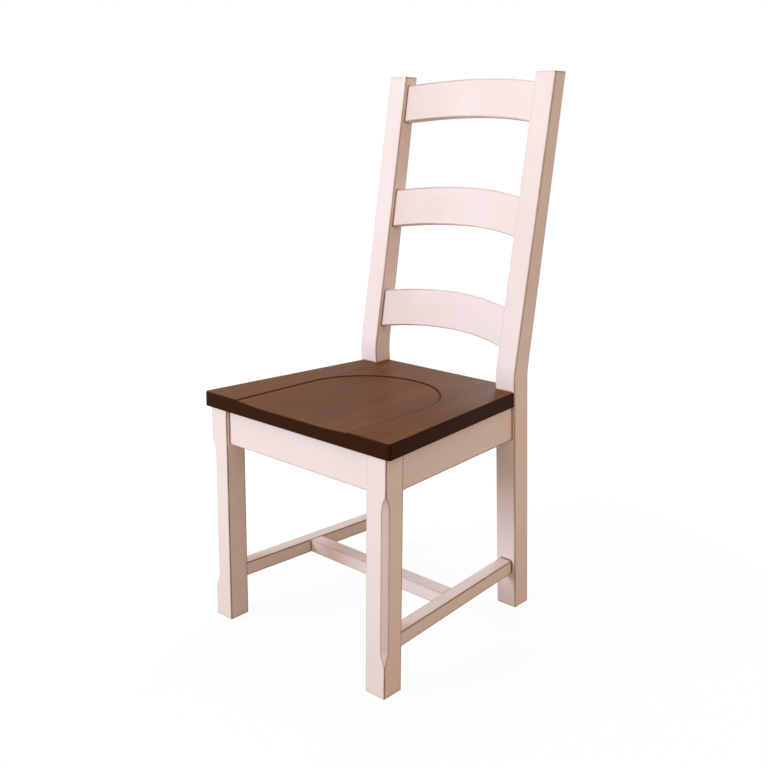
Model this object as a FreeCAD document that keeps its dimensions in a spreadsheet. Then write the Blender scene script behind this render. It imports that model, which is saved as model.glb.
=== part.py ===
"""A ladderback dining chair: square front legs, bent rear posts, three bowed slats, a solid wooden seat
with a scooped top, and an H of stretchers. Millimetres. +Z is up, the sitter faces -Y, and right is +X.
The origin is on the floor, in the middle of the chair's width and depth."""

import FreeCAD, Part
import math
import os
import Sketcher

# The driving sizes, in millimetres
SIZES = {
    "seat_height": 460.0,
    "seat_thick": 28.5,
    "seat_front_width": 477.0,
    "seat_taper": 84.5,
    "seat_depth": 442.0,
    "seat_front_reach": 273.6,
    "seat_corner_radius": 6.0,
    "seat_edge_radius": 3.0,
    "notch_gap": 0.3,
    "scoop_radius": 147.0,
    "scoop_centre_back": 194.5,
    "scoop_depth": 4.5,
    "scoop_lip_depth": 1.4,
    "scoop_lip_width": 4.0,
    "scoop_floor_radius": 62.0,
    "leg_size": 43.7,
    "leg_inset": 12.8,
    "leg_setback": 6.0,
    "leg_edge_radius": 1.5,
    "foot_chamfer": 1.4,
    "stop_chamfer": 9.8,
    "stop_low": 57.0,
    "stop_low_run": 26.0,
    "stop_high": 366.5,
    "stop_high_run": 30.0,
    "post_width": 44.8,
    "post_proud": 5.65,
    "post_splay": 7.1,
    "post_foot_setback": 433.1,
    "post_foot_depth": 44.9,
    "knee_setback": 396.6,
    "knee_front_height": 493.0,
    "knee_depth": 45.3,
    "knee_back_height": 495.5,
    "knee_radius": 130.0,
    "post_height": 1062.0,
    "post_top_setback": 491.7,
    "post_top_depth": 35.1,
    "post_edge_radius": 2.5,
    "slat_height": 78.0,
    "top_slat_height": 76.4,
    "slat_thick": 20.0,
    "slat_recess": 7.0,
    "slat_bow": 30.0,
    "slat_arch": 16.5,
    "slat_edge": 1.5,
    "lower_slat_rise": 47.8,
    "middle_slat_rise": 262.0,
    "top_slat_rise": 483.1,
    "slat_tenon_thick": 12.0,
    "slat_tenon_length": 22.0,
    "slat_tenon_shoulder": 8.0,
    "apron_height": 69.0,
    "apron_thick": 20.0,
    "apron_recess_front": 7.5,
    "apron_recess_side": 6.0,
    "apron_recess_back": 10.0,
    "apron_tenon_thick": 10.0,
    "apron_tenon_length": 20.0,
    "apron_tenon_shoulder": 12.0,
    "stretcher_top": 102.5,
    "stretcher_height": 27.5,
    "stretcher_thick": 27.0,
    "stretcher_recess": 8.5,
    "cross_height": 26.0,
    "cross_depth": 31.0,
    "cross_setback": 235.9,
    "stretcher_tenon_thick": 12.0,
    "stretcher_tenon_length": 20.0,
    "stretcher_tenon_shoulder": 5.0,
    "cross_tenon_length": 14.0,
    "rail_edge_radius": 1.5,
    "tenon_gap": 0.15,
    "mortise_end_gap": 1.5,
    "block_reach": 52.0,
    "block_height": 28.0,
    "screw_radius": 2.2,
    "screw_head_radius": 4.5,
    "screw_head_depth": 3.0,
    "screw_gap": 0.1,
    "screw_length": 44.0,
    "screw_inset": 13.0,
}

# How far a cut runs past the wood, so that no skin is left over it
PAST = 5.0

# How much longer a board is drawn before its ends are trimmed to the posts or legs
TRIM = 1.0

doc = FreeCAD.newDocument("ladderback_chair")
sheet = doc.addObject("Spreadsheet::Sheet", "Sizes")
for row, (alias, number) in enumerate(SIZES.items(), start=1):
    sheet.set(f"A{row}", alias)
    sheet.set(f"B{row}", str(number))
    sheet.setAlias(f"B{row}", alias)
doc.recompute()


class Size:
    """A number and the sheet formula that gives it, so that one line of arithmetic makes both."""

    def __init__(self, number, formula):
        self.number = number
        self.formula = formula

    def __add__(self, other):
        other = size(other)
        return Size(self.number + other.number, f"({self.formula} + {other.formula})")

    def __sub__(self, other):
        other = size(other)
        return Size(self.number - other.number, f"({self.formula} - {other.formula})")

    def __mul__(self, other):
        other = size(other)
        return Size(self.number * other.number, f"({self.formula} * {other.formula})")

    def __truediv__(self, other):
        other = size(other)
        return Size(self.number / other.number, f"({self.formula} / {other.formula})")

    def __neg__(self):
        return size(0) - self

    __radd__ = __add__
    __rmul__ = __mul__

    def __rsub__(self, other):
        return size(other) - self


def size(value):
    """A plain number, or the name of a driving size, as a Size."""
    if isinstance(value, Size):
        return value
    if isinstance(value, str):
        return Size(SIZES[value], f"Sizes.{value}")
    return Size(float(value), f"({value})")


def root(value):
    return Size(math.sqrt(value.number), f"sqrt({value.formula})")


def arc_radius(half_chord, rise):
    """Radius of the arc that rises so far over so long a chord."""
    return (half_chord * half_chord + rise * rise) / (2 * rise)


def bind(obj, prop, value):
    obj.setExpression(prop, size(value).formula)


# Derived places that several pieces share
seat_top = size("seat_height")
seat_under = seat_top - size("seat_thick")
seat_front = -size("seat_front_reach")
seat_back = seat_front + size("seat_depth")
seat_front_half = size("seat_front_width") / 2
seat_back_half = seat_front_half - size("seat_taper") / 2
leg_front = seat_front + size("leg_setback")
leg_back = leg_front + size("leg_size")
leg_outer = seat_front_half - size("leg_inset")
leg_inner = leg_outer - size("leg_size")
post_outer = seat_back_half + size("post_proud")
apron_under = seat_under - size("apron_height")
post_foot_front = seat_front + size("post_foot_setback")
knee_front = seat_front + size("knee_setback")
post_top_front = seat_front + size("post_top_setback")
cross_middle = seat_front + size("cross_setback")


def post_outer_at(height):
    """X of the right-hand post's outer face. The posts splay outward over their whole height."""
    return post_outer + size("post_splay") * (height - seat_top) / size("post_height")


def post_inner_at(height):
    return post_outer_at(height) - size("post_width")


def leg_inner_at(_):
    """The same for a front leg, which stands upright."""
    return leg_inner


def post_front_at(height):
    """Y of the post's front face below the knee, where it leans back towards the foot."""
    drop = post_foot_front - knee_front
    return post_foot_front - drop * height / size("knee_front_height")


def post_back_at(height):
    """Y of the post's back face below the knee."""
    foot = post_foot_front + size("post_foot_depth")
    knee = knee_front + size("knee_depth")
    return foot - (foot - knee) * height / size("knee_back_height")


def side_rail_x(recess, height, along):
    """X of the line that runs, set in by recess, from the front leg's to the rear post's outer face."""
    front_x = leg_outer - recess
    rear_x = post_outer_at(height) - recess
    rear_y = post_front_at(height)
    return front_x - (front_x - rear_x) * (along - leg_back) / (rear_y - leg_back)


def origin_plane(body, role):
    return [f for f in body.Origin.OriginFeatures if f.Role == role][0]


def new_body(name):
    body = doc.addObject("PartDesign::Body", name)
    body.Label = name
    return body


def arc_between(start, end, radius, side):
    """The shorter arc from start to end. Its centre is left of the way with side 1, right with -1."""
    middle = (start + end) / 2
    chord = end - start
    half = chord.Length / 2
    normal = FreeCAD.Vector(-chord.y, chord.x, 0).normalize()
    centre = middle + normal * side * math.sqrt(max(radius**2 - half**2, 0.0))
    first = math.atan2(start.y - centre.y, start.x - centre.x)
    last = math.atan2(end.y - centre.y, end.x - centre.x)
    circle = Part.Circle(centre, FreeCAD.Vector(0, 0, 1), radius)
    if side > 0:
        return Part.ArcOfCircle(circle, first, last), True
    return Part.ArcOfCircle(circle, last, first), False


def place_sketch(sketch, body, role, offset):
    sketch.AttachmentSupport = [(origin_plane(body, role), "")]
    sketch.MapMode = "FlatFace"
    bind(sketch, "AttachmentOffset.Base.z", offset)


def draw(sketch, corners, arcs=None):
    """Draw a closed outline. A corner is (across, up). arcs gives a side's radius and centre side."""
    arcs = arcs or {}
    points = [FreeCAD.Vector(size(x).number, size(y).number, 0) for x, y in corners]
    count = len(points)
    first_id = sketch.GeometryCount
    starts = []
    ends = []
    for i, point in enumerate(points):
        following = points[(i + 1) % count]
        forward = True
        if i in arcs:
            radius, side = arcs[i]
            shape, forward = arc_between(point, following, size(radius).number, side)
        else:
            shape = Part.LineSegment(point, following)
        sketch.addGeometry(shape)
        starts.append(1 if forward else 2)
        ends.append(2 if forward else 1)
    for i in range(count):
        j = (i + 1) % count
        meeting = Sketcher.Constraint("Coincident", first_id + i, ends[i], first_id + j, starts[j])
        sketch.addConstraint(meeting)
    for i, (x, y) in enumerate(corners):
        for kind, value in (("DistanceX", size(x)), ("DistanceY", size(y))):
            item = Sketcher.Constraint(kind, -1, 1, first_id + i, starts[i], value.number)
            index = sketch.addConstraint(item)
            sketch.setExpression(f"Constraints[{index}]", value.formula)
    for i, (radius, _) in arcs.items():
        index = sketch.addConstraint(Sketcher.Constraint("Radius", first_id + i, size(radius).number))
        sketch.setExpression(f"Constraints[{index}]", size(radius).formula)


def outline(body, name, role, offset, corners, arcs=None):
    sketch = body.newObject("Sketcher::SketchObject", name)
    place_sketch(sketch, body, role, offset)
    draw(sketch, corners, arcs)
    return sketch


def pad(body, name, sketch, length, reverse=False, midplane=False):
    feature = body.newObject("PartDesign::Pad", name)
    feature.Profile = sketch
    feature.Reversed = reverse
    feature.Midplane = midplane
    bind(feature, "Length", length)
    doc.recompute()
    return feature


def pocket(body, name, sketch, length, reverse=False, midplane=False):
    """Cut a pocket and make sure that it took something away."""
    before = body.Shape.Volume
    feature = body.newObject("PartDesign::Pocket", name)
    feature.Profile = sketch
    feature.Reversed = reverse
    feature.Midplane = midplane
    bind(feature, "Length", length)
    doc.recompute()
    if body.Shape.Volume > before - 1.0:
        raise RuntimeError(f"{body.Label}: {name} cut nothing")
    return feature


def ease_edges(body, name, kind, prop, amount, test):
    """Round or chamfer every edge of the body that the test picks."""
    solid = body.Tip
    names = [f"Edge{i}" for i, edge in enumerate(solid.Shape.Edges, start=1) if test(edge)]
    feature = body.newObject(kind, name)
    feature.Base = (solid, names)
    bind(feature, prop, amount)
    doc.recompute()
    if "Invalid" in feature.State:
        raise RuntimeError(f"{body.Label}: {name} changed nothing, edges {names}")
    return feature


def round_edges(body, name, radius, test):
    return ease_edges(body, name, "PartDesign::Fillet", "Radius", radius, test)


def chamfer_edges(body, name, width, test):
    return ease_edges(body, name, "PartDesign::Chamfer", "Size", width, test)


def upright_edge(edge):
    """A test for straight edges that stand up."""
    if edge.Curve.TypeId != "Part::GeomLine":
        return False
    return abs(edge.tangentAt(edge.FirstParameter).dot(Z_AXIS)) > 0.98


def on_floor(edge):
    return edge.BoundBox.ZMax < 0.01


X_AXIS = FreeCAD.Vector(1, 0, 0)
Y_AXIS = FreeCAD.Vector(0, 1, 0)
Z_AXIS = FreeCAD.Vector(0, 0, 1)


def mirrored(side, corners):
    """Corners for the right-hand piece, or their mirror image for the left-hand one."""
    return [(side * size(x), y) for x, y in corners]


def upright_pad(body, name, corners, low, high):
    """A plan outline padded from one height to another."""
    sketch = outline(body, f"{name}_plan", "XY_Plane", low, corners)
    return pad(body, name, sketch, size(high) - low)


def mortise(body, name, corners, low, high):
    """A plan outline cut away between two heights, with the gap that a tenon leaves over and under it."""
    floor = low - tenon_gap
    sketch = outline(body, f"{name}_plan", "XY_Plane", floor, corners)
    return pocket(body, name, sketch, high + tenon_gap - floor, reverse=True)


def beyond_face(face_at, far, low, high):
    """Front view of what lies between a face that leans sideways and an upright line beyond it."""
    return [(face_at(low), low), (far, low), (far, high), (face_at(high), high)]


def trim_ends(body, face_at, low, high, base=0):
    """Cut both ends of a board to the faces that it stands between. A board whose own frame leans back
    with the posts gives the height of that frame's origin as its base."""
    waste = beyond_face(face_at, face_at(high) + 3 * PAST, low - PAST, high + PAST)
    waste = [(x, z - base) for x, z in waste]
    sketch = body.newObject("Sketcher::SketchObject", "end_faces")
    place_sketch(sketch, body, "XZ_Plane", 0)
    if base:
        slope = LEAN_BACK / LEAN_UP
        turn = math.degrees(math.atan(slope.number))
        sketch.AttachmentOffset = FreeCAD.Placement(FreeCAD.Vector(), FreeCAD.Rotation(X_AXIS, turn))
        sketch.setExpression("AttachmentOffset.Rotation.Angle", f"atan({slope.formula})")
    draw(sketch, waste)
    draw(sketch, mirrored(-1, waste))
    pocket(body, "ends", sketch, 2 * size("seat_depth"), midplane=True)


def end_mortise(body, name, side, inner, face, back):
    """The mortise that an end apron's tenon enters, from the inner face of a leg or post."""
    near = face + apron_tenon_inset - tenon_gap
    far = back - apron_tenon_inset + tenon_gap
    mouth = inner - PAST
    reach = inner + size("apron_tenon_length") + end_gap
    plan = [(mouth, near), (reach, near), (reach, far), (mouth, far)]
    mortise(body, name, mirrored(side, plan), apron_tenon_low, apron_tenon_high)


def side_bar(recess, thick, height, front_end, rear_end):
    """Plan corners of a bar inside a side rail, set in by recess from the outer faces of leg and post."""
    near = [(side_rail_x(recess + thick, height, y), y) for y in (front_end, rear_end)]
    far = [(side_rail_x(recess, height, y), y) for y in (rear_end, front_end)]
    return near + far


# Where each rail and its tenons lie
tenon_gap = size("tenon_gap")
end_gap = size("mortise_end_gap")
apron_tenon_low = apron_under + size("apron_tenon_shoulder")
apron_tenon_high = seat_under - size("apron_tenon_shoulder")
apron_tenon_inset = (size("apron_thick") - size("apron_tenon_thick")) / 2
stretcher_low = size("stretcher_top") - size("stretcher_height")
stretcher_tenon_low = stretcher_low + size("stretcher_tenon_shoulder")
stretcher_tenon_high = size("stretcher_top") - size("stretcher_tenon_shoulder")
stretcher_tenon_inset = (size("stretcher_thick") - size("stretcher_tenon_thick")) / 2
apron_middle = seat_under - size("apron_height") / 2
stretcher_middle = size("stretcher_top") - size("stretcher_height") / 2
front_apron_face = leg_front + size("apron_recess_front")
front_apron_back = front_apron_face + size("apron_thick")
back_apron_back = post_back_at(apron_middle) - size("apron_recess_back")
back_apron_face = back_apron_back - size("apron_thick")

SIDE_RAILS = {
    "apron": {
        "recess": size("apron_recess_side"),
        "thick": size("apron_thick"),
        "low": apron_under,
        "high": seat_under,
        "middle": apron_middle,
        "tenon_inset": apron_tenon_inset,
        "tenon_thick": size("apron_tenon_thick"),
        "tenon_low": apron_tenon_low,
        "tenon_high": apron_tenon_high,
        "tenon_length": size("apron_tenon_length"),
    },
    "stretcher": {
        "recess": size("stretcher_recess"),
        "thick": size("stretcher_thick"),
        "low": stretcher_low,
        "high": size("stretcher_top"),
        "middle": stretcher_middle,
        "tenon_inset": stretcher_tenon_inset,
        "tenon_thick": size("stretcher_tenon_thick"),
        "tenon_low": stretcher_tenon_low,
        "tenon_high": stretcher_tenon_high,
        "tenon_length": size("stretcher_tenon_length"),
    },
}


def side_tenon(rail, grow, front_end, rear_end):
    """Plan corners of a side rail's tenon, grown on both sides by the gap that a mortise leaves."""
    recess = rail["recess"] + rail["tenon_inset"] - grow
    thick = rail["tenon_thick"] + 2 * size(grow)
    return side_bar(recess, thick, rail["middle"], front_end, rear_end)


def front_leg(name, side):
    """A square leg with a stopped chamfer down its outer front corner and its mortises."""
    body = new_body(name)
    plan = [(leg_inner, leg_front), (leg_outer, leg_front), (leg_outer, leg_back), (leg_inner, leg_back)]
    upright_pad(body, "post", mirrored(side, plan), size(0), seat_under)
    round_edges(body, "arrises", size("leg_edge_radius"), upright_edge)
    chamfer_edges(body, "foot", size("foot_chamfer"), on_floor)

    # The chamfer is cut across a plane through the corner, at 45 degrees between the two faces
    depth = size("stop_chamfer") / root(size(2))
    low = size("stop_low")
    high = size("stop_high")
    low_full = low + size("stop_low_run")
    high_full = high - size("stop_high_run")
    sweep = arc_radius(size("stop_high_run"), depth)
    corners = [(-PAST, low), (0, low), (depth, low_full), (depth, high_full), (0, high), (-PAST, high)]
    sketch = body.newObject("Sketcher::SketchObject", "stopped_chamfer_profile")
    sketch.AttachmentSupport = [(origin_plane(body, "XZ_Plane"), "")]
    sketch.MapMode = "FlatFace"
    turn = 135 if side > 0 else 45
    sketch.AttachmentOffset = FreeCAD.Placement(FreeCAD.Vector(), FreeCAD.Rotation(Y_AXIS, turn))
    bind(sketch, "AttachmentOffset.Base.x", side * leg_outer)
    bind(sketch, "AttachmentOffset.Base.z", -leg_front)
    draw(sketch, corners, {3: (sweep, 1)})
    pocket(body, "stopped_chamfer", sketch, 4 * size("stop_chamfer"), midplane=True)

    end_mortise(body, "front_mortise", side, leg_inner, front_apron_face, front_apron_back)
    for key, rail in SIDE_RAILS.items():
        plan = side_tenon(rail, tenon_gap, leg_back - rail["tenon_length"] - end_gap, leg_back + PAST)
        mortise(body, f"side_{key}_mortise", mirrored(side, plan), rail["tenon_low"], rail["tenon_high"])
    return body


def lean_vector():
    """Rise and run of the post's front face above the knee, for one millimetre along it."""
    rise = size("post_height") - size("knee_front_height")
    run = post_top_front - knee_front
    length = root(rise * rise + run * run)
    return rise / length, run / length


LEAN_UP, LEAN_BACK = lean_vector()


# How far up the leaning post each slat's lower corners start, and the slat's height
SLATS = {
    "slat_lower": (size("lower_slat_rise"), size("slat_height")),
    "slat_middle": (size("middle_slat_rise"), size("slat_height")),
    "slat_top": (size("top_slat_rise"), size("top_slat_height")),
}


def on_lean(along, into):
    """Y and Z of a point so far up the post's leaning front face and so far into the post."""
    across = knee_front + along * LEAN_BACK + into * LEAN_UP
    up = size("knee_front_height") + along * LEAN_UP - into * LEAN_BACK
    return across, up


def rear_post(name, side):
    """A post bent at the knee: leg below the seat, leaning back above it."""
    body = new_body(name)
    height = size("post_height")
    blank_inner = post_inner_at(0) - PAST
    blank_outer = post_outer_at(height) + PAST
    knee_back = knee_front + size("knee_depth")
    profile = [
        (post_foot_front, size(0)),
        (post_foot_front + size("post_foot_depth"), size(0)),
        (knee_back, size("knee_back_height")),
        (post_top_front + size("post_top_depth"), height),
        (post_top_front, height),
        (knee_front, size("knee_front_height")),
    ]
    sketch = outline(body, "side_profile", "YZ_Plane", blank_inner if side > 0 else -blank_outer, profile)
    pad(body, "post", sketch, blank_outer - blank_inner)

    def at_knee(edge):
        box = edge.BoundBox
        return box.YLength < 0.1 and box.ZLength < 0.1 and box.ZMin > 0.1 and box.ZMax < height.number - 0.1

    round_edges(body, "knee_curve", size("knee_radius"), at_knee)

    # The two side faces, seen from the front, splay outward
    sketch = body.newObject("Sketcher::SketchObject", "side_faces")
    place_sketch(sketch, body, "XZ_Plane", 0)
    for face_at, far in ((post_outer_at, blank_outer + PAST), (post_inner_at, blank_inner - PAST)):
        draw(sketch, mirrored(side, beyond_face(face_at, far, size(-PAST), height + PAST)))
    pocket(body, "splay", sketch, 2 * size("seat_depth"), midplane=True)

    def arris(edge):
        box = edge.BoundBox
        at_top = box.ZMin > height.number - 0.01
        return at_top or (box.XLength < SIZES["post_width"] / 2 and not on_floor(edge))

    round_edges(body, "arrises", size("post_edge_radius"), arris)
    chamfer_edges(body, "foot", size("foot_chamfer"), on_floor)
    end_mortise(body, "back_mortise", side, post_inner_at(apron_middle), back_apron_face, back_apron_back)
    for key, rail in SIDE_RAILS.items():
        rear = post_front_at(rail["middle"])
        plan = side_tenon(rail, tenon_gap, rear - PAST, rear + rail["tenon_length"] + end_gap)
        mortise(body, f"side_{key}_mortise", mirrored(side, plan), rail["tenon_low"], rail["tenon_high"])

    # Mortises for the slats, square to the leaning face
    mouth = post_inner_at(seat_top) - PAST
    for slat_name in SLATS:
        reach = slat_half(slat_name) + size("slat_tenon_length") + end_gap
        start = mouth if side > 0 else -reach
        low, high, near, far = slat_tenon(slat_name, tenon_gap)
        corners = [on_lean(low, near), on_lean(low, far), on_lean(high, far), on_lean(high, near)]
        sketch = outline(body, f"{slat_name}_mortise_profile", "YZ_Plane", start, corners)
        pocket(body, f"{slat_name}_mortise", sketch, reach - mouth, reverse=True)
    return body


def slat_half(name):
    """X of the right-hand post's inner face beside the slat's upper corner."""
    rise, tall = SLATS[name]
    height = on_lean(rise + tall, size("slat_recess"))[1]
    return post_inner_at(height)


def slat_tenon(name, grow):
    """The tenon's low and high end up the post, and its near and far side into it."""
    rise, tall = SLATS[name]
    low = rise + size("slat_tenon_shoulder") - grow
    high = rise + tall - size("slat_tenon_shoulder") + grow
    near = size("slat_recess") + (size("slat_thick") - size("slat_tenon_thick")) / 2 - grow
    far = near + size("slat_tenon_thick") + 2 * size(grow)
    return low, high, near, far


def slat(name):
    """A slat bowed back between the posts and arched along its top and bottom, with a tenon at each end.
    It is drawn upright at the knee and then leant back with the posts."""
    body = new_body(name)
    rise, tall = SLATS[name]
    half = slat_half(name) + TRIM
    bow = arc_radius(half, size("slat_bow"))
    arch = arc_radius(half, size("slat_arch"))
    face = size("slat_recess")
    back = face + size("slat_thick")
    plan = [(-half, face), (half, face), (half, back), (-half, back)]
    sketch = outline(body, "bowed_plan", "XY_Plane", rise, plan, {0: (bow, -1), 2: (bow, 1)})
    pad(body, "board", sketch, tall + size("slat_arch") + PAST)
    deep = 2 * (back + size("slat_bow") + PAST)
    wide = half + PAST
    below = rise - PAST
    under = [(-wide, below), (wide, below), (wide, rise), (half, rise), (-half, rise), (-wide, rise)]
    sketch = outline(body, "under_arch", "XZ_Plane", size(0), under, {3: (arch, 1)})
    pocket(body, "lower_edge", sketch, deep, midplane=True)
    end = rise + tall
    crest = end + size("slat_arch") + 2 * size(PAST)
    over = [(-wide, end), (-half, end), (half, end), (wide, end), (wide, crest), (-wide, crest)]
    sketch = outline(body, "over_arch", "XZ_Plane", size(0), over, {1: (arch, -1)})
    pocket(body, "upper_edge", sketch, deep, midplane=True)
    knee_height = size("knee_front_height")
    trim_ends(body, post_inner_at, knee_height + rise - 2 * PAST, knee_height + crest, knee_height)

    def long_edge(edge):
        return edge.BoundBox.XLength > SIZES["slat_height"]

    chamfer_edges(body, "arrises", size("slat_edge"), long_edge)
    low, high, near, far = slat_tenon(name, 0)
    sketch = body.newObject("Sketcher::SketchObject", "tenon_faces")
    place_sketch(sketch, body, "XZ_Plane", -near)
    root_x = half - size("slat_tenon_shoulder")
    tip_x = slat_half(name) + size("slat_tenon_length")
    draw(sketch, [(root_x, low), (tip_x, low), (tip_x, high), (root_x, high)])
    draw(sketch, [(-tip_x, low), (-root_x, low), (-root_x, high), (-tip_x, high)])
    pad(body, "tenons", sketch, far - near, reverse=True)
    slope = LEAN_BACK / LEAN_UP
    lean = math.degrees(math.atan(slope.number))
    body.Placement = FreeCAD.Placement(FreeCAD.Vector(), FreeCAD.Rotation(X_AXIS, -lean))
    bind(body, "Placement.Base.y", knee_front)
    bind(body, "Placement.Base.z", size("knee_front_height"))
    body.setExpression("Placement.Rotation.Angle", f"-atan({slope.formula})")
    doc.recompute()
    return body


def straight_apron(name, face, back, end_at):
    """The front or back apron: a plain board between the faces at end_at, with a tenon at each end."""
    body = new_body(name)
    half = end_at(seat_under) + TRIM
    plan = [(-half, face), (half, face), (half, back), (-half, back)]
    upright_pad(body, "board", plan, apron_under, seat_under)
    trim_ends(body, end_at, apron_under, seat_under)

    def lower_edge(edge):
        box = edge.BoundBox
        return box.XLength > 100 and box.ZMax < apron_under.number + 1

    round_edges(body, "arrises", size("rail_edge_radius"), lower_edge)
    tip = end_at(apron_middle) + size("apron_tenon_length")
    near = face + apron_tenon_inset
    far = back - apron_tenon_inset
    plan = [(-tip, near), (tip, near), (tip, far), (-tip, far)]
    upright_pad(body, "tenons", plan, apron_tenon_low, apron_tenon_high)
    return body


def raked_corners(low, high, far, gap):
    """Side view of what is cut away behind the post's raked front face, or a gap before it."""
    under = low - PAST
    over = high + PAST
    face_under = post_front_at(under) - gap
    face_over = post_front_at(over) - gap
    return [(face_under, under), (far, under), (far, over), (face_over, over)]


def side_rail(name, key, side):
    """A side apron or side stretcher, which follows the seat's taper from leg to post."""
    rail = SIDE_RAILS[key]
    body = new_body(name)
    low = rail["low"]
    high = rail["high"]
    rear_low = post_front_at(low)
    plan = side_bar(rail["recess"], rail["thick"], rail["middle"], leg_back, rear_low + PAST)
    upright_pad(body, "board", mirrored(side, plan), low, high)

    # The rear shoulder is cut to the rake of the post
    corners = raked_corners(low, high, rear_low + 3 * PAST, 0)
    sketch = outline(body, "shoulder_profile", "YZ_Plane", size(0), corners)
    pocket(body, "rear_shoulder", sketch, 3 * leg_outer, midplane=True)
    top = high.number - 0.1

    def long_edge(edge):
        return edge.BoundBox.YLength > 100 and (key == "stretcher" or edge.BoundBox.ZMax < top)

    round_edges(body, "arrises", size("rail_edge_radius"), long_edge)
    front_end = leg_back - rail["tenon_length"]
    rear_end = post_front_at(rail["middle"]) + rail["tenon_length"]
    plan = side_tenon(rail, 0, front_end, rear_end)
    upright_pad(body, "tenons", mirrored(side, plan), rail["tenon_low"], rail["tenon_high"])
    if key == "stretcher":
        plan = mirrored(side, cross_mortise_plan())
        mortise(body, "cross_mortise", plan, cross_tenon_low, cross_tenon_high)
    return body


cross_near = cross_middle - size("cross_depth") / 2
cross_far = cross_middle + size("cross_depth") / 2
cross_high = stretcher_middle + size("cross_height") / 2
cross_low = stretcher_middle - size("cross_height") / 2
cross_tenon_low = cross_low + size("stretcher_tenon_shoulder")
cross_tenon_high = cross_high - size("stretcher_tenon_shoulder")
cross_tenon_near = cross_middle - size("stretcher_tenon_thick") / 2
cross_tenon_far = cross_middle + size("stretcher_tenon_thick") / 2


def cross_end_x(along):
    """X of the right-hand side stretcher's inner face, where the cross stretcher's shoulder meets it."""
    inner = size("stretcher_recess") + size("stretcher_thick")
    return side_rail_x(inner, stretcher_middle, along)


def cross_mortise_plan():
    """Plan corners of the right-hand mortise that takes the cross stretcher's tenon."""
    near = cross_tenon_near - tenon_gap
    far = cross_tenon_far + tenon_gap
    near_x = cross_end_x(near)
    far_x = cross_end_x(far)
    reach = size("cross_tenon_length") + end_gap
    return [(near_x - PAST, near), (near_x + reach, near), (far_x + reach, far), (far_x - PAST, far)]


def cross_plan(near, far, beyond):
    """Plan corners of a bar between the side stretchers, which runs so far into them."""
    near_x = cross_end_x(near) + beyond
    far_x = cross_end_x(far) + beyond
    return [(-near_x, near), (near_x, near), (far_x, far), (-far_x, far)]


def cross_stretcher(name):
    """The bar of the H, between the two side stretchers, its ends cut to their taper."""
    body = new_body(name)
    upright_pad(body, "board", cross_plan(cross_near, cross_far, 0), cross_low, cross_high)
    round_edges(body, "arrises", size("rail_edge_radius"), lambda edge: edge.BoundBox.XLength > 100)
    plan = cross_plan(cross_tenon_near, cross_tenon_far, size("cross_tenon_length"))
    upright_pad(body, "tenons", plan, cross_tenon_low, cross_tenon_high)
    return body


def seat_panel(name):
    """The seat: a tapered panel notched round the posts, with a scoop that runs out at the front."""
    body = new_body(name)
    right_side = [(seat_front_half, seat_front), (seat_back_half, seat_back)]
    left_side = [(-seat_back_half, seat_back), (-seat_front_half, seat_front)]
    upright_pad(body, "panel", right_side + left_side, seat_under, seat_top)
    round_edges(body, "corners", size("seat_corner_radius"), upright_edge)

    # The scoop is a round hollow, carried straight out through the front edge
    centre = seat_front + size("scoop_centre_back")
    lip = size("scoop_radius") - size("scoop_lip_width")
    lip_z = seat_top - size("scoop_lip_depth")
    floor = size("scoop_floor_radius")
    floor_z = seat_top - size("scoop_depth")
    cove = arc_radius(lip - floor, size("scoop_depth") - size("scoop_lip_depth"))
    rim = size("scoop_radius")
    clear = seat_top + PAST
    half = [(0, floor_z), (floor, floor_z), (lip, lip_z), (rim, seat_top), (rim, clear), (0, clear)]
    sketch = outline(body, "scoop_profile", "XZ_Plane", -centre, half, {1: (cove, 1)})
    groove = body.newObject("PartDesign::Groove", "scoop_back")
    groove.Profile = sketch
    groove.ReferenceAxis = (sketch, ["V_Axis"])
    groove.Angle = 360
    doc.recompute()
    right_half = [(floor, floor_z), (lip, lip_z), (rim, seat_top), (rim, clear)]
    left_half = [(-rim, clear), (-rim, seat_top), (-lip, lip_z), (-floor, floor_z)]
    run_out = {0: (cove, 1), 6: (cove, 1)}
    sketch = outline(body, "scoop_run_out", "XZ_Plane", -centre, right_half + left_half, run_out)
    pocket(body, "scoop_front", sketch, size("scoop_centre_back") + PAST, reverse=True)

    def upper_rim(edge):
        box = edge.BoundBox
        if box.ZMin < floor_z.number - 0.1:
            return False
        on_front = box.YMax < seat_front.number + 0.01
        on_top = box.ZMin > seat_top.number - 0.01
        middle = edge.CenterOfMass
        of_scoop = abs(middle.x) < rim.number + 0.1 and middle.y < (centre + rim).number
        return on_front or (on_top and not of_scoop)

    round_edges(body, "rim", size("seat_edge_radius"), upper_rim)

    # Notches round the rear posts, raked like them
    gap = size("notch_gap")
    corners = raked_corners(seat_under, seat_top, seat_back + PAST, gap)
    width = size("post_width") + 2 * size(PAST)
    wall = post_inner_at(seat_under) - gap
    for side, start in ((1, wall), (-1, -(wall + width))):
        tag = "right" if side > 0 else "left"
        sketch = outline(body, f"{tag}_notch_profile", "YZ_Plane", start, corners)
        pocket(body, f"{tag}_notch", sketch, width, reverse=True)
    return body


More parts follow.
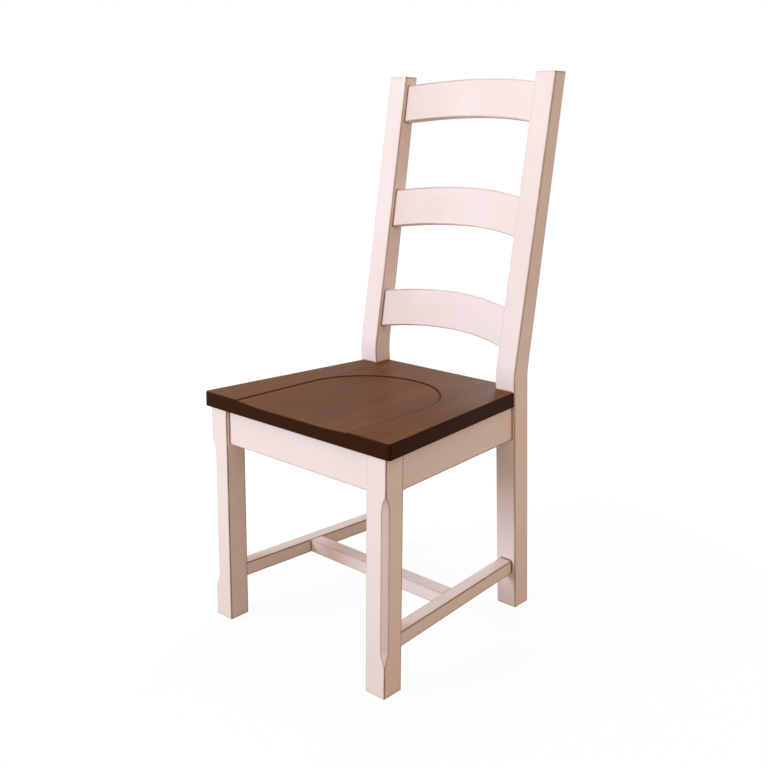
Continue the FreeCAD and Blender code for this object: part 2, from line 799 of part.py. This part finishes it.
def block_plan(at_front):
    """Plan corners of a right-hand corner block, fitted round the leg or the post. The last is the
    corner of the leg or post itself."""
    inner = size("apron_recess_side") + size("apron_thick")
    reach = size("block_reach")
    if at_front:
        corner_x = leg_inner
        corner_y = leg_back
        wall_y = front_apron_back
        far_y = leg_back + reach
    else:
        corner_x = post_inner_at(seat_under - size("block_height"))
        corner_y = post_front_at(seat_under)
        wall_y = back_apron_face
        far_y = corner_y - reach
    wall_x = side_rail_x(inner, apron_middle, corner_y)
    far_x = side_rail_x(inner, apron_middle, far_y)
    on_end_apron = [(corner_x, wall_y), (corner_x - reach, wall_y)]
    on_side_apron = [(far_x, far_y), (wall_x, corner_y)]
    return on_end_apron + on_side_apron + [(corner_x, corner_y)]


def corner_block(name, side, at_front):
    body = new_body(name)
    low = seat_under - size("block_height")
    upright_pad(body, "block", mirrored(side, block_plan(at_front)), low, seat_under)
    return body


def screw_body(name, spot, grow=0, lead=0):
    """A screw that stands head down at a spot, or with grow and lead its counterbored hole."""
    body = new_body(name)
    grow = size(grow)
    shank = size("screw_radius") + grow
    head = size("screw_head_radius") + grow
    shoulder = size("screw_head_depth") + grow
    tip = size("screw_length") + grow
    foot = -size(lead)
    half_section = [(0, foot), (head, foot), (head, shoulder), (shank, shoulder), (shank, tip), (0, tip)]
    sketch = outline(body, "half_section", "XZ_Plane", size(0), half_section)
    turned = body.newObject("PartDesign::Revolution", "turned")
    turned.Profile = sketch
    turned.ReferenceAxis = (sketch, ["V_Axis"])
    turned.Angle = 360
    for axis, value in zip("xyz", spot):
        bind(body, f"Placement.Base.{axis}", value)
    doc.recompute()
    return body


def screw_spot(side, at_front):
    """Where the head of a corner block's screw sits."""
    corner_x, corner_y = block_plan(at_front)[-1]
    inset = size("screw_inset")
    along = corner_y + inset if at_front else corner_y - inset
    return side * (corner_x - inset), along, seat_under - size("block_height")


def cut(name, base, tool):
    result = doc.addObject("Part::Cut", f"{name}_cut")
    result.Base = base
    result.Tool = tool
    return result


def group(name, members):
    result = doc.addObject("Part::Compound", name)
    result.Links = members
    return result


nodes = {}
for tag, side in (("left", -1), ("right", 1)):
    nodes[f"front_leg_{tag}"] = front_leg(f"front_leg_{tag}", side)
    nodes[f"rear_post_{tag}"] = rear_post(f"rear_post_{tag}", side)
    nodes[f"side_stretcher_{tag}"] = side_rail(f"side_stretcher_{tag}", "stretcher", side)
    nodes[f"apron_{tag}"] = side_rail(f"apron_{tag}", "apron", side)
for slat_name in SLATS:
    nodes[slat_name] = slat(slat_name)
nodes["cross_stretcher"] = cross_stretcher("cross_stretcher")

nodes["apron_front"] = straight_apron("apron_front", front_apron_face, front_apron_back, leg_inner_at)
nodes["apron_back"] = straight_apron("apron_back", back_apron_face, back_apron_back, post_inner_at)

screws = []
holes = []
for place, at_front in (("front", True), ("rear", False)):
    for tag, side in (("left", -1), ("right", 1)):
        corner = f"{place}_{tag}"
        spot = screw_spot(side, at_front)
        screws.append(screw_body(f"{corner}_screw", spot))
        holes.append(screw_body(f"{corner}_screw_hole", spot, "screw_gap", PAST))
        block = corner_block(f"{corner}_block_blank", side, at_front)
        nodes[f"corner_block_{corner}"] = cut(f"corner_block_{corner}", block, holes[-1])
nodes["seat"] = cut("seat", seat_panel("seat_panel"), group("seat_screw_holes", holes))
nodes["seat_screws"] = group("seat_screws", screws)
doc.recompute()

for obj in doc.Objects:
    if {"Invalid", "Error"} & set(obj.State):
        raise RuntimeError(f"{obj.Name}: {obj.State}")
for name, obj in nodes.items():
    obj.Label = name
    if obj.Shape.isNull() or not obj.Shape.isValid():
        raise RuntimeError(f"{name}: shape is not valid")

os.makedirs("parts", exist_ok=True)
for name, obj in sorted(nodes.items()):
    obj.Shape.exportStep(f"parts/{name}.step")
    print(f"{name}: {len(obj.Shape.Solids)} solid(s), {obj.Shape.Volume / 1000:.1f} cm3")
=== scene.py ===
"""The looks of a ladderback dining chair: glazed off-white paint, a dark stained seat, studio light."""

import math

import bpy
from mathutils import Matrix, Vector

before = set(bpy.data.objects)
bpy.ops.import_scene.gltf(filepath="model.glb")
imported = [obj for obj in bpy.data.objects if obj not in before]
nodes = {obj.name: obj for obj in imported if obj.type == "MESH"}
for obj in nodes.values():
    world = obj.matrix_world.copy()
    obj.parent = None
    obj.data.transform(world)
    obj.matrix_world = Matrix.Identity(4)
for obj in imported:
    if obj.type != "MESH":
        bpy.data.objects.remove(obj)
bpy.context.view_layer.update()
scene = bpy.context.scene

# Colours, as linear values
WHITE = (1.0, 1.0, 1.0)
PAINT = (0.905, 0.790, 0.775)
# Worn paint, also used as the painted shade towards the floor
PAINT_WORN_AND_SHADED = (0.82, 0.67, 0.63)
GLAZE_THIN = (0.52, 0.33, 0.225)
GLAZE = (0.165, 0.078, 0.040)
SEAT_MID = (0.152, 0.059, 0.021)
SEAT_PALE = (0.190, 0.079, 0.031)
SEAT_DARK = (0.075, 0.026, 0.007)
SEAT_EDGE = (0.034, 0.0095, 0.0020)
BARE_WOOD = (0.52, 0.34, 0.18)
BARE_WOOD_DARK = (0.36, 0.21, 0.10)
STEEL = (0.55, 0.54, 0.50)
FLOOR_SEEN = (0.90, 0.90, 0.90)
FLOOR_BOUNCE = (0.43, 0.35, 0.265)
FILL = (1.0, 0.80, 0.64)
KEY = (0.69, 0.84, 1.0)
BACK = (0.80, 0.88, 1.0)

# How far glaze reaches in from an arris and out from a joint, in metres
ARRIS_REACH = 0.0034
JOINT_REACH = 0.006
OCCLUSION_SAMPLES = 12

# The scoop's plan, in metres: the middle of its round back and the radius of the dark line in its lip
SCOOP_CENTRE = -0.0791
SCOOP_LIP = 0.1438
LIP_DARK = 0.0016
LIP_CLEAR = 0.0030

# The floor, in metres, and how it glows to the camera: by this share at least, and wholly far away
FLOOR_RADIUS = 14.0
FLOOR_SIDES = 96
FLOOR_HEIGHT = -0.0004
FLOOR_SHARE = 0.88
FLOOR_WHITE = 1.035
SHADOW_NEAR = 0.35
SHADOW_FAR = 0.95

# The lights
FILL_LEVEL = 0.72
LAMP_SIZE = 3.2
LAMP_AIM = Vector((0.0, 0.0, 0.55))

# The camera stands where the photograph was taken from
AZIMUTH = math.radians(42.67)
ELEVATION = math.radians(11.60)
ROLL = math.radians(0.31)
EYE = Vector((1.22545, -1.3813, 0.95087))
FOCAL_PIXELS = 973.3
MIDDLE_ACROSS = 374.5
MIDDLE_DOWN = 330.25
FRAME_PIXELS = 768
SENSOR = 36.0

PAINTED = {
    "x": ("slat_lower", "slat_middle", "slat_top", "apron_front", "apron_back", "cross_stretcher"),
    "y": ("apron_left", "apron_right", "side_stretcher_left", "side_stretcher_right"),
    "z": ("front_leg_left", "front_leg_right", "rear_post_left", "rear_post_right"),
}


class Nodes:
    """A short way to write the node tree of a material or of the world."""

    def __init__(self, owner, output):
        owner.use_nodes = True
        self.owner = owner
        self.tree = owner.node_tree
        self.tree.nodes.clear()
        self.output = self.tree.nodes.new(output)

    def add(self, kind, settings=None, **inputs):
        node = self.tree.nodes.new(kind)
        for key, value in (settings or {}).items():
            setattr(node, key, value)
        for key, value in inputs.items():
            self.put(node.inputs[key.replace("_", " ")], value)
        return node

    def put(self, socket, value):
        if isinstance(value, bpy.types.NodeSocket):
            self.tree.links.new(value, socket)
        elif socket.type == "RGBA":
            socket.default_value = (*value, 1.0)
        else:
            socket.default_value = value

    def math(self, operation, a, b=0.0):
        node = self.add("ShaderNodeMath", {"operation": operation})
        self.put(node.inputs[0], a)
        self.put(node.inputs[1], b)
        return node.outputs[0]

    def blend(self, factor, a, b):
        """The colour a, turning into b as the factor grows."""
        node = self.add("ShaderNodeMix", {"data_type": "RGBA"})
        for index, value in ((0, factor), (6, a), (7, b)):
            self.put(node.inputs[index], value)
        return node.outputs[2]

    def ramp(self, value, low, high, to_low=0.0, to_high=1.0, kind="SMOOTHSTEP"):
        """The value brought from low..high to to_low..to_high, and held there outside them."""
        node = self.add("ShaderNodeMapRange", {"interpolation_type": kind})
        for index, number in enumerate((value, low, high, to_low, to_high)):
            self.put(node.inputs[index], number)
        return node.outputs[0]

    def place(self):
        return self.add("ShaderNodeTexCoord").outputs["Object"]

    def split(self, vector):
        return self.add("ShaderNodeSeparateXYZ", Vector=vector).outputs

    def normal(self):
        return self.split(self.add("ShaderNodeTexCoord").outputs["Normal"])

    def noise(self, vector, scale, detail, roughness, distortion=0.0):
        """Noise over a place. A scale of three numbers stretches it along the axes."""
        if isinstance(scale, tuple):
            vector = self.add("ShaderNodeMapping", Vector=vector, Scale=scale).outputs[0]
            scale = 1.0
        node = self.add(
            "ShaderNodeTexNoise",
            Vector=vector,
            Scale=scale,
            Detail=detail,
            Roughness=roughness,
            Distortion=distortion,
        )
        return node.outputs["Fac"]

    def occlusion(self, distance, inside):
        settings = {"inside": inside, "only_local": inside, "samples": OCCLUSION_SAMPLES}
        return self.add("ShaderNodeAmbientOcclusion", settings, Distance=distance).outputs["AO"]

    def bump(self, height, strength, distance):
        return self.add("ShaderNodeBump", Height=height, Strength=strength, Distance=distance).outputs[0]

    def glazed(self, colour, film):
        """The colour under a brown film, which passes through tan before it hides what is under it."""
        thin = self.blend(self.ramp(film, 0.0, 0.5, kind="LINEAR"), colour, GLAZE_THIN)
        return self.blend(self.ramp(film, 0.3, 1.0, kind="LINEAR"), thin, GLAZE)

    def background_rays(self):
        """1 for the rays that show the background: the camera's, and those in reflections and glass."""
        rays = self.add("ShaderNodeLightPath").outputs
        seen = self.math("MAXIMUM", rays["Is Camera Ray"], rays["Is Glossy Ray"])
        return self.math("MAXIMUM", seen, rays["Is Transmission Ray"])

    def mix_shaders(self, factor, first, second):
        mix = self.add("ShaderNodeMixShader")
        for socket, value in zip(mix.inputs, (factor, first.outputs[0], second.outputs[0])):
            self.put(socket, value)
        return mix

    def finish(self, shader):
        self.tree.links.new(shader.outputs[0], self.output.inputs[0])
        return self.owner

    def principled(self, **inputs):
        return self.finish(self.add("ShaderNodeBsdfPrincipled", **inputs))


def material_nodes(name):
    return Nodes(bpy.data.materials.new(name), "ShaderNodeOutputMaterial")


def painted(name, along):
    """Off-white paint brushed along a piece, with a brown glaze left on its arrises and in its joints,
    and painted shade towards the floor and on the right-hand arrises.
    """
    n = material_nodes(name)
    spot = n.place()
    brushed = tuple(6.0 if axis == along else 90.0 for axis in "xyz")
    grain = n.noise(spot, brushed, 4.0, 0.6)
    cloud = n.noise(spot, 9.0, 3.0, 0.55)
    fleck = n.noise(spot, 55.0, 2.0, 0.5)

    # Paint, a little uneven and with a trace of glaze wiped along the grain
    wiped = n.math("MULTIPLY", n.ramp(grain, 0.52, 0.80), n.ramp(cloud, 0.40, 0.70))
    colour = n.blend(n.math("MULTIPLY", wiped, 0.30), PAINT, PAINT_WORN_AND_SHADED)
    colour = n.blend(n.ramp(cloud, 0.30, 0.75, 0.0, 0.16), colour, PAINT_WORN_AND_SHADED)

    # Painted shade makes the paint darker towards the floor, and the glaze in the joints is thicker low
    # down
    height = n.split(spot)["Z"]
    colour = n.blend(n.ramp(height, 0.34, 0.0, 0.0, 0.60), colour, PAINT_WORN_AND_SHADED)
    thickness = n.ramp(height, 0.16, 0.12, 0.50, 1.0)

    # Glaze on the arrises, broken up along their length, and painted shade that makes it darkest on the
    # right-hand arrises, the side away from the key lamp
    edge = n.ramp(n.occlusion(ARRIS_REACH, True), 0.985, 0.80)
    broken = n.ramp(n.noise(spot, 22.0, 3.0, 0.6), 0.30, 0.62, 0.60, 1.0)
    rightward_shade = n.ramp(n.normal()["X"], -0.10, 0.45, 0.22, 0.88)
    colour = n.glazed(colour, n.math("MULTIPLY", n.math("MULTIPLY", edge, broken), rightward_shade))

    # Glaze settled in the joints
    corner = n.ramp(n.occlusion(JOINT_REACH, False), 0.85, 0.45)
    colour = n.glazed(colour, n.math("MULTIPLY", corner, thickness))

    relief = n.math("ADD", n.math("MULTIPLY", grain, 0.7), n.math("MULTIPLY", fleck, 0.3))
    return n.principled(
        Base_Color=colour,
        Roughness=n.ramp(cloud, 0.3, 0.7, 0.46, 0.58),
        Normal=n.bump(relief, 0.10, 0.0012),
        Specular_IOR_Level=0.3,
    )


def stained(name):
    """Dark stained wood with a low sheen, its grain running front to back."""
    n = material_nodes(name)
    spot = n.place()

    # Long soft figure, fine grain and pores
    wander = n.noise(spot, (5.0, 1.6, 5.0), 3.0, 0.5)
    figure = n.noise(spot, (22.0, 2.2, 22.0), 4.0, 0.55, 0.8)
    fine = n.noise(spot, (260.0, 9.0, 260.0), 3.0, 0.6)
    pores = n.ramp(n.noise(spot, (520.0, 26.0, 520.0), 2.0, 0.5), 0.60, 0.72)
    colour = n.blend(n.ramp(figure, 0.34, 0.68), SEAT_MID, SEAT_PALE)
    colour = n.blend(n.ramp(wander, 0.52, 0.74, 0.0, 0.55), colour, SEAT_DARK)
    colour = n.blend(n.ramp(fine, 0.45, 0.80, 0.0, 0.35), colour, SEAT_DARK)
    colour = n.blend(n.math("MULTIPLY", pores, 0.45), colour, SEAT_DARK)

    # The stain lies darker on the edges, and a dark line runs round the lip of the scoop
    colour = n.blend(n.ramp(n.normal()["Z"], 0.95, 0.60), colour, SEAT_EDGE)
    across = n.split(spot)["X"]
    behind = n.math("MAXIMUM", n.math("SUBTRACT", n.split(spot)["Y"], SCOOP_CENTRE), 0.0)
    squares = n.math("ADD", n.math("MULTIPLY", across, across), n.math("MULTIPLY", behind, behind))
    from_lip = n.math("ABSOLUTE", n.math("SUBTRACT", n.math("SQRT", squares), SCOOP_LIP))
    colour = n.blend(n.ramp(from_lip, LIP_CLEAR, LIP_DARK), colour, SEAT_EDGE)

    relief = n.math("SUBTRACT", n.math("MULTIPLY", fine, 0.5), n.math("MULTIPLY", pores, 0.6))
    return n.principled(
        Base_Color=colour,
        Roughness=n.ramp(figure, 0.3, 0.7, 0.40, 0.50),
        Normal=n.bump(relief, 0.08, 0.0008),
        Specular_IOR_Level=0.03,
    )


def bare(name):
    """Unfinished wood."""
    n = material_nodes(name)
    rings = n.noise(n.place(), (14.0, 14.0, 110.0), 4.0, 0.6, 0.6)
    colour = n.blend(n.ramp(rings, 0.35, 0.70), BARE_WOOD, BARE_WOOD_DARK)
    return n.principled(Base_Color=colour, Roughness=0.65, Normal=n.bump(rings, 0.1, 0.001))


def steel(name):
    n = material_nodes(name)
    wear = n.noise(n.place(), 400.0, 2.0, 0.5)
    return n.principled(Base_Color=STEEL, Metallic=1.0, Roughness=n.ramp(wear, 0.3, 0.7, 0.28, 0.45))


def dress(names, material):
    for name in names:
        slots = nodes[name].data.materials
        slots.clear()
        slots.append(material)


def floor_material(name):
    """White to the camera with a soft shadow near the chair, and tan where it throws light back."""
    n = material_nodes(name)
    seen = n.background_rays()
    length = n.add("ShaderNodeVectorMath", {"operation": "LENGTH"})
    n.put(length.inputs[0], n.place())
    far = n.ramp(length.outputs["Value"], SHADOW_NEAR, SHADOW_FAR)
    share = n.math("MULTIPLY", n.math("MAXIMUM", far, FLOOR_SHARE), seen)
    diffuse = n.add("ShaderNodeBsdfDiffuse", Color=n.blend(seen, FLOOR_BOUNCE, FLOOR_SEEN))
    glow = n.add("ShaderNodeEmission", Color=WHITE, Strength=FLOOR_WHITE)
    return n.finish(n.mix_shaders(share, diffuse, glow))


def disc(name, radius, sides, height):
    turns = [2 * math.pi * i / sides for i in range(sides)]
    ring = [(radius * math.cos(turn), radius * math.sin(turn), height) for turn in turns]
    mesh = bpy.data.meshes.new(name)
    mesh.from_pydata(ring, [], [tuple(range(sides))])
    made = bpy.data.objects.new(name, mesh)
    scene.collection.objects.link(made)
    return made


def studio_world(name):
    """White to the camera, and a soft warm fill to everything else."""
    n = Nodes(bpy.data.worlds.new(name), "ShaderNodeOutputWorld")
    fill = n.add("ShaderNodeBackground", Color=FILL, Strength=FILL_LEVEL)
    white = n.add("ShaderNodeBackground", Color=WHITE, Strength=1.0)
    return n.finish(n.mix_shaders(n.background_rays(), fill, white))


def round_lamp(name, position, power, colour, gloss):
    """A large round lamp aimed at the middle of the chair."""
    data = bpy.data.lights.new(name, "AREA")
    data.shape = "DISK"
    data.size = LAMP_SIZE
    data.energy = power
    data.color = colour
    data.specular_factor = gloss
    lamp = bpy.data.objects.new(name, data)
    lamp.location = position
    lamp.rotation_euler = (LAMP_AIM - Vector(position)).to_track_quat("-Z", "Y").to_euler()
    scene.collection.objects.link(lamp)


def photo_camera(name):
    data = bpy.data.cameras.new(name)
    data.sensor_width = SENSOR
    data.lens = FOCAL_PIXELS / FRAME_PIXELS * SENSOR
    data.shift_x = 0.5 - MIDDLE_ACROSS / FRAME_PIXELS
    data.shift_y = MIDDLE_DOWN / FRAME_PIXELS - 0.5
    camera = bpy.data.objects.new(name, data)
    tilt = Matrix.Rotation(math.pi / 2 - ELEVATION, 4, "X") @ Matrix.Rotation(ROLL, 4, "Z")
    camera.matrix_world = Matrix.Translation(EYE) @ Matrix.Rotation(AZIMUTH, 4, "Z") @ tilt
    scene.collection.objects.link(camera)
    return camera


for axis, names in PAINTED.items():
    dress(names, painted(f"paint_along_{axis}", axis))
dress(["seat"], stained("stained_wood"))
dress([name for name in nodes if name.startswith("corner_block")], bare("bare_wood"))
dress(["seat_screws"], steel("screw_steel"))

floor = disc("floor", FLOOR_RADIUS, FLOOR_SIDES, FLOOR_HEIGHT)
floor.data.materials.append(floor_material("floor"))

scene.world = studio_world("studio")
round_lamp("key", (-3.2, -6.6, 2.9), 415.0, KEY, 1.0)
round_lamp("back", (-2.5, 6.5, 2.4), 170.0, BACK, 0.1)
scene.camera = photo_camera("camera")
scene.view_settings.view_transform = "Standard"
